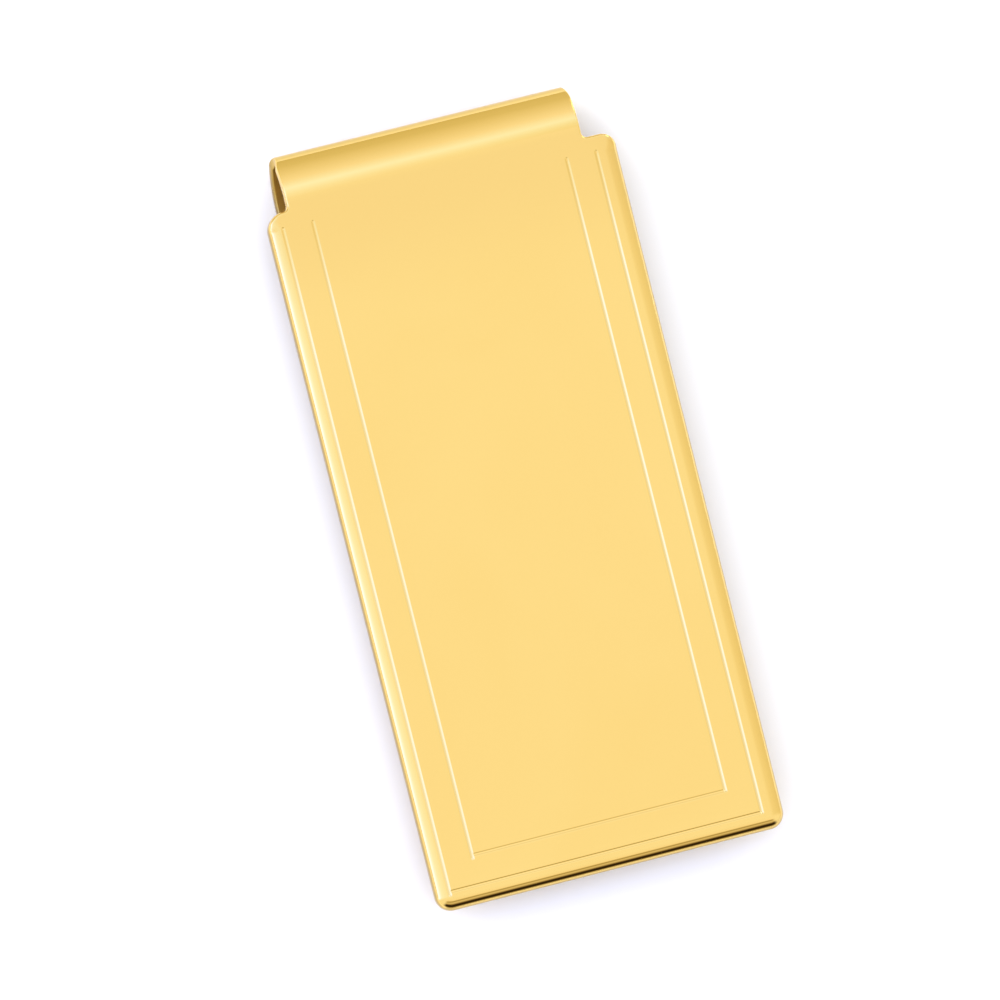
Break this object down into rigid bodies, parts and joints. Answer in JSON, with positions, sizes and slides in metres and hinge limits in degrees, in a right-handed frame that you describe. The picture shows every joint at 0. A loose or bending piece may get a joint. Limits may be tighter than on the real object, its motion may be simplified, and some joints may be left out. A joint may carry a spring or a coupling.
{
  "type": "money clip",
  "caption": "Bent-sheet money clip: rolled-edge front plate with an engraved border, a spring bend and a sprung back leg that opens.",
  "frame": {"origin": "on the surface that the clip lies on, under the middle of its length and of its plate's width", "axes": "+X across the clip, +Y along it towards the spring bend, +Z out of the engraved front face"},
  "size_m": [0.0252, 0.0524, 0.0037],
  "materials": {
    "polished_gold": "polished gold plating"
  },
  "bodies": {
    "front": {"front_plate": "polished_gold", "spring_bend": "polished_gold"},
    "leg": {"back_leg": "polished_gold"}
  },
  "joints": [
    {"name": "leg_opening", "type": "hinge", "parent": "front", "child": "leg", "pos_m": [-0.00036, 0.02221, 0.00032], "axis": [1, 0, 0], "range_deg": [0, 8], "stiffness_Nm_per_rad": 2.5}
  ]
}
